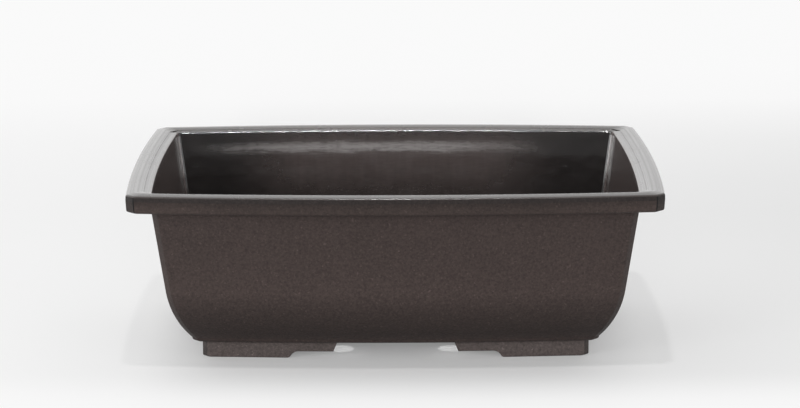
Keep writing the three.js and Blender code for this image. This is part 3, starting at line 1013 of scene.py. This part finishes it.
def light_pot():
    """Soft light from above, the front and the sides, and lamps that only show as glints."""
    hang_lamp(softbox("overhead_lamp", size=0.1, power=6.0), OVERHEAD, POT_MIDDLE, "matt")
    hang_lamp(softbox("front_softbox", size=0.6, power=11.0), (0.0, -1.62, 0.43), POT_MIDDLE, "matt")
    hang_lamp(softbox("left_softbox", size=0.75, power=5.5), (-1.06, -1.06, 0.42), POT_MIDDLE)
    hang_lamp(softbox("right_softbox", size=0.75, power=2.4), (1.06, -1.06, 0.42), POT_MIDDLE)
    hang_lamp(softbox("overhead_gleam", size=0.1, power=12.0), OVERHEAD_GLEAM, POT_MIDDLE, "gloss")
    hang_lamp(softbox("left_strip", size=0.35, power=3.2), (-1.2, -0.15, 0.22), POT_MIDDLE, "gloss")
    hang_lamp(softbox("right_strip", size=0.35, power=1.7), (1.2, -0.15, 0.22), POT_MIDDLE, "gloss")
    mouth_spot = spotlight("mouth_spot", radius=0.04, cone=math.radians(6.4), softness=0.5, power=80.0)
    hang_lamp(mouth_spot, OVERHEAD, MOUTH, "matt")


FLOOR_HALF = 4.0
FLOOR_SHOWN = 0.835  # how pale the floor looks
FLOOR_PAINTED_SHADE_TO_RIGHT = 0.15  # painted shade: how much of that it loses in a metre to the right
FLOOR_MOTTLE = 0.02  # and how much of it varies from place to place
FLOOR_MOTTLE_SIZE = 0.2
FLOOR_ROUGHNESS = 0.9
FLOOR_SHEEN = 0.1
FLOOR_BOUNCE = (0.15, 0.15, 0.15)  # how much light it throws back on the pot
FLOOR_FROM, FLOOR_TO = -0.2, 1.0  # along Y, from the front of the picture to its far end
# How far the floor fades into the white backdrop, by its place between those two
FLOOR_FADE = ((0.03, 0.92), (0.047, 0.82), (0.062, 0.6), (0.078, 0.34), (0.089, 0.22),
              (0.42, 0.22), (0.51, 0.3), (0.63, 0.52), (0.78, 0.92), (0.92, 1.0))
BESIDE_FROM, BESIDE_TO = 0.105, 0.15  # painted light: beside the pot, between these distances, the floor fades further into white, lightening its shadow
BESIDE_PAINTED_LIGHT = 0.32
BESIDE_PAINTED_LIGHT_FALL = 0.6  # how much less that is for each metre to the right
BACKDROP_WHITE = 0.93
WHITE = (1, 1, 1)


def shown_rays(tree):
    """1 where the camera, or a reflection, looks straight at a surface."""
    kinds = ("Is Camera Ray", "Is Glossy Ray", "Is Transmission Ray")
    camera, glossy, transmission = (tree.node("ShaderNodeLightPath", output=kind) for kind in kinds)
    return camera.math("MAXIMUM", glossy).math("MAXIMUM", transmission)


def make_floor():
    """A pale floor that keeps the pot's shadow, fades into the white backdrop and has painted light beside
    the pot.
    """
    corners = [(-1, -1), (1, -1), (1, 1), (-1, 1)]
    points = [(x * FLOOR_HALF, y * FLOOR_HALF, 0) for x, y in corners]
    floor = new_piece("floor", points, faces=[(0, 1, 2, 3)])
    finish = Finish("pale_floor")
    mottle = finish.noise(FLOOR_MOTTLE_SIZE, detail=2.0)
    sideways, backwards = (finish.axis(finish.coordinates, axis) for axis in "XY")
    fade = finish.grey_ramp(FLOOR_FADE, (backwards - FLOOR_FROM) / (FLOOR_TO - FLOOR_FROM))
    # painted light beside the pot, lightening its shadow there
    painted_light_beside = finish.smooth_step(sideways.math("ABSOLUTE"), BESIDE_FROM, BESIDE_TO)
    fade = fade + (1 - fade) * painted_light_beside * (BESIDE_PAINTED_LIGHT - sideways * BESIDE_PAINTED_LIGHT_FALL)
    shown = shown_rays(finish)
    paleness = FLOOR_SHOWN + (mottle - 0.5) * FLOOR_MOTTLE
    # painted shade: the floor darker towards the right
    pale = finish.shade(WHITE, paleness * (1 - sideways * FLOOR_PAINTED_SHADE_TO_RIGHT) * (1 - fade))
    floor.data.materials.append(
        finish.finish(
            Base_Color=finish.mix(shown, FLOOR_BOUNCE, pale),
            Roughness=FLOOR_ROUGHNESS,
            Specular_IOR_Level=FLOOR_SHEEN,
            Emission_Color=finish.shade(WHITE, fade * shown * BACKDROP_WHITE),
            Emission_Strength=1.0,
        )
    )


# How light the room is that the gloss shows, from 0 straight in front of the pot to 1 straight behind it
ROOM_LEVELS = ((0.2, 0.31), (0.8, 1.0))
ROOM_SIDE_FALL = 0.7  # how much of that the right side of the room loses
FILL_ALL_ROUND = 0.2
FILL_SIDES = 0.75
FILL_SIDE_FALL = 0.2  # the right gives this much less, and the left this much more
FILL_BEHIND = 2.2


def make_world():
    """A fill from the sides and from behind, a white backdrop, and a room that the gloss shows."""
    world = bpy.data.worlds.new("studio")
    bpy.context.scene.world = world
    world.use_nodes = True
    tree = Tree(world.node_tree)
    direction = tree.node("ShaderNodeTexCoord", output="Generated")
    sideways, backwards = (tree.axis(direction, axis) for axis in "XY")
    to_right = sideways.math("MAXIMUM", 0.0)
    from_behind = backwards.math("MAXIMUM", 0.0)
    room_grey = tree.grey_ramp(ROOM_LEVELS, backwards * 0.5 + 0.5)
    room_grey = tree.shade(room_grey, 1 - to_right * ROOM_SIDE_FALL)
    from_sides = sideways * sideways * (FILL_SIDES - sideways * FILL_SIDE_FALL)
    fill_level = FILL_ALL_ROUND + from_sides + from_behind * from_behind * FILL_BEHIND
    white = tree.node("ShaderNodeBackground", None, {"Color": WHITE, "Strength": BACKDROP_WHITE})
    room = tree.node("ShaderNodeBackground", None, {"Color": room_grey, "Strength": 1.0})
    fill = tree.node("ShaderNodeBackground", None, {"Color": fill_level, "Strength": 1.0})
    is_glossy = tree.node("ShaderNodeLightPath", output="Is Glossy Ray")
    seen = tree.node("ShaderNodeMixShader", None, {"Fac": is_glossy, "Shader": white, "Shader_001": room})
    shaders = {"Fac": shown_rays(tree), "Shader": fill, "Shader_001": seen}
    tree.node("ShaderNodeOutputWorld", None, {"Surface": tree.node("ShaderNodeMixShader", None, shaders)})


make_camera()
make_floor()
make_world()
light_pot()
bpy.context.scene.view_settings.view_transform = "Standard"

# Pieces
smooth_finishes = [satin_plastic(), glossy_plastic()]
rim_corners = {"corner_line": 0.85, "corner_painted_shade": 0.3}
rim_edge_finish = grained_plastic("rim_edge_plastic", RIM_EDGE_BROWN, **rim_corners)
lip_finish = grained_plastic("lip_plastic", LIP_BROWN, LIP_PAINTED_SHADE, painted_light_at_ends=0.35, **rim_corners)
wall_finish = grained_plastic("wall_plastic", WALL_BROWN, WALL_PAINTED_SHADE)
foot_finish = grained_plastic("foot_plastic", FOOT_BROWN, corner_line=0.3, corner_painted_shade=0.42)
rim_finishes = [rim_edge_finish, *smooth_finishes]
lip_finishes = [lip_finish, *smooth_finishes]
wall_finishes = [wall_finish, *smooth_finishes]
sweep = bowed_sweep_tree()
pieces = {
    swept_piece("rim_top_ring", flange_section(), sweep, rim_finishes): ("smooth_plastic", "rim_flange"),
    swept_piece("rim_lip_ring", lip_section(), sweep, lip_finishes): ("grained_plastic", "rim_lip"),
    swept_piece("wall_shell", wall_section(), sweep, wall_finishes): ("grained_plastic", "wall"),
}
for piece, (slot, node) in pieces.items():
    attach(piece, "root")
    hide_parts(*[f"{node}_{side}" for side in SIDES])

plate = floor_plate(sweep, wall_finishes)
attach(plate, "root")
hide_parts("base_plate")

for front_or_back, sign_y in (("front", 1), ("back", -1)):
    for right_or_left, sign_x in (("right", 1), ("left", -1)):
        corner = f"{front_or_back}_{right_or_left}"
        foot = bracket_foot(f"bracket_foot_{corner}", sign_x, sign_y, foot_finish)
        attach(foot, "root")
        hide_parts(f"foot_{corner}")
